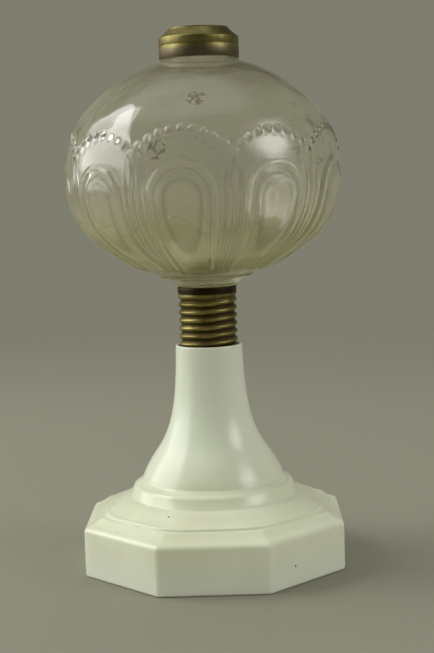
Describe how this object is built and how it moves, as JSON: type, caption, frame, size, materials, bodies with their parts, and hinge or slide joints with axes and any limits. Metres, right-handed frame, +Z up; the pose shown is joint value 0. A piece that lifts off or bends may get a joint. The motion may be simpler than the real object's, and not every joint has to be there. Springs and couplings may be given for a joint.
{
  "type": "kerosene table lamp",
  "caption": "Table oil lamp: eight-sided white glass base, brass screw sleeve, beaded clear glass font that unscrews, brass burner collar.",
  "frame": {"origin": "centre of the underside of the foot, on the surface that the lamp stands on", "axes": "+Z up along the lamp's axis; -Y is the front, square to one of the foot's eight faces; +X to the right"},
  "size_m": [0.1066, 0.1066, 0.2085],
  "materials": {
    "white_glass": "glossy opaque white glass",
    "clear_glass": "clear pressed glass, faint straw tint",
    "sleeve_brass": "dull aged brass",
    "collar_brass": "dull aged brass",
    "plaster": "matte plaster"
  },
  "bodies": {
    "stand": {"base": "white_glass", "base_cement": "plaster", "screw_sleeve": "sleeve_brass"},
    "lift": {"collar_cement": "plaster"},
    "reservoir": {"font": "clear_glass", "collar": "collar_brass"}
  },
  "joints": [
    {"name": "font_lift", "type": "slide", "parent": "stand", "child": "lift", "axis": [0, 0, 1], "range_m": [0, 0.0124]},
    {"name": "font_turn", "type": "hinge", "parent": "lift", "child": "reservoir", "pos_m": [0, 0, 0.1095], "axis": [0, 0, 1], "range_deg": [0, 1440]}
  ],
  "couplings": [
    {"joint": "font_lift", "follows": "font_turn", "m_per_rad": 0.00049338}
  ]
}
